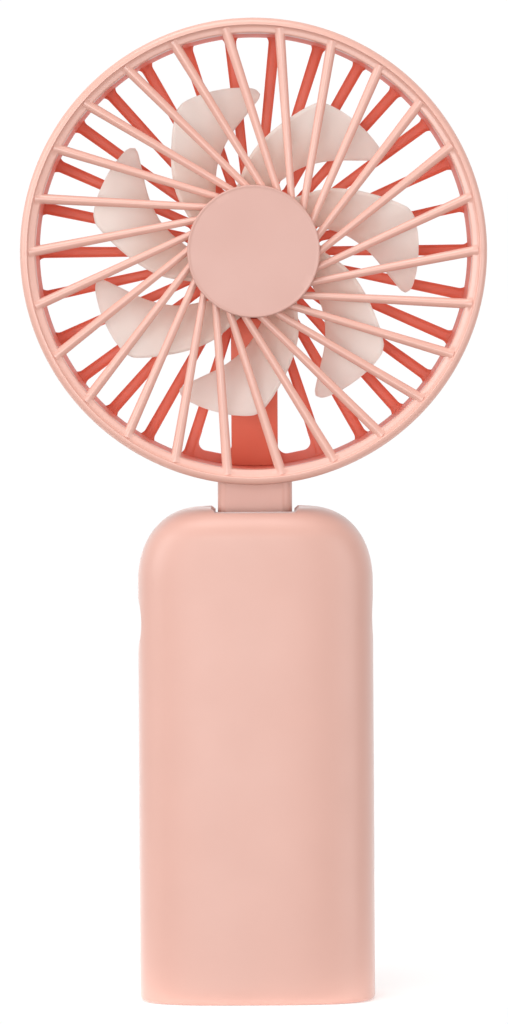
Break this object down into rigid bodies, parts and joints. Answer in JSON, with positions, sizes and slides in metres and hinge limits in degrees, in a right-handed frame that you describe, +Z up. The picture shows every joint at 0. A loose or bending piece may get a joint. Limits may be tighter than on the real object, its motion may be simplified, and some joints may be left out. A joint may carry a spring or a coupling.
{
  "type": "handheld electric fan",
  "caption": "Handheld electric fan: round guarded head with swept blades on a folding neck, over a tall rounded battery handle with a side key.",
  "frame": {"origin": "middle of the handle's flat base", "axes": "+Z up along the handle to the head, the air leaves towards -Y, +X on the right of someone who faces the grille"},
  "size_m": [0.099, 0.0295, 0.209],
  "materials": {
    "shell_pink": "fine matte moulded surface, light pink",
    "grille_pink": "smooth satin moulded surface, light pink",
    "grille_coral": "smooth satin moulded surface, coral",
    "blade_frosted": "frosted translucent moulded surface",
    "black_plastic": "fine matte moulded surface",
    "nylon": "plain natural nylon",
    "circuit_board": "green solder mask",
    "steel": "bright zinc-plated",
    "dark_steel": "dull plated",
    "copper": "enamelled copper wire",
    "magnet": "bonded ferrite, dull",
    "cell_wrap": "shrink-wrapped cell",
    "lead_insulation": "soft insulation"
  },
  "bodies": {
    "handle": {"handle_front_shell": "shell_pink", "handle_rear_shell": "shell_pink", "shell_screw_lower_left": "steel", "shell_screw_upper_left": "steel", "shell_screw_lower_right": "steel", "shell_screw_upper_right": "steel", "hinge_bracket": "steel", "hinge_pin": "steel", "friction_washer_left": "nylon", "friction_washer_right": "nylon", "bracket_screw_left": "steel", "bracket_screw_right": "steel", "battery_cell": "cell_wrap", "battery_cradle": "black_plastic", "battery_tab_negative": "steel", "battery_tab_positive": "steel", "main_board": "circuit_board", "tact_switch": "black_plastic", "charge_board": "circuit_board", "usb_c_socket": "steel"},
    "head": {"front_grille": "grille_pink", "grille_cap": "grille_pink", "duct_shell": "shell_pink", "rear_grille": "grille_coral", "wire_channel_cover": "grille_coral", "neck_cover": "shell_pink", "neck_cover_screw": "steel", "motor_tube": "dark_steel", "stator_core": "steel", "stator_winding": "copper", "front_bearing": "steel", "rear_bearing": "steel", "motor_screw_1": "steel", "motor_screw_2": "steel", "motor_screw_3": "steel", "driver_board": "circuit_board", "motor_lead": "lead_insulation"},
    "impeller": {"impeller": "blade_frosted", "rotor_cup": "dark_steel", "magnet_ring": "magnet", "motor_shaft": "steel", "shaft_clip": "steel"},
    "power_button": {"power_button": "shell_pink"}
  },
  "joints": [
    {"name": "head_tilt", "type": "hinge", "parent": "handle", "child": "head", "pos_m": [0, 0.005, 0.095], "axis": [-1, 0, 0], "range_deg": [0, 90]},
    {"name": "impeller_spin", "type": "hinge", "parent": "head", "child": "impeller", "pos_m": [0, 0, 0.1595], "axis": [0, -1, 0], "continuous": true},
    {"name": "power_press", "type": "slide", "parent": "handle", "child": "power_button", "axis": [-1, 0, 0], "range_m": [0, 0.0008], "stiffness_N_per_m": 800}
  ]
}
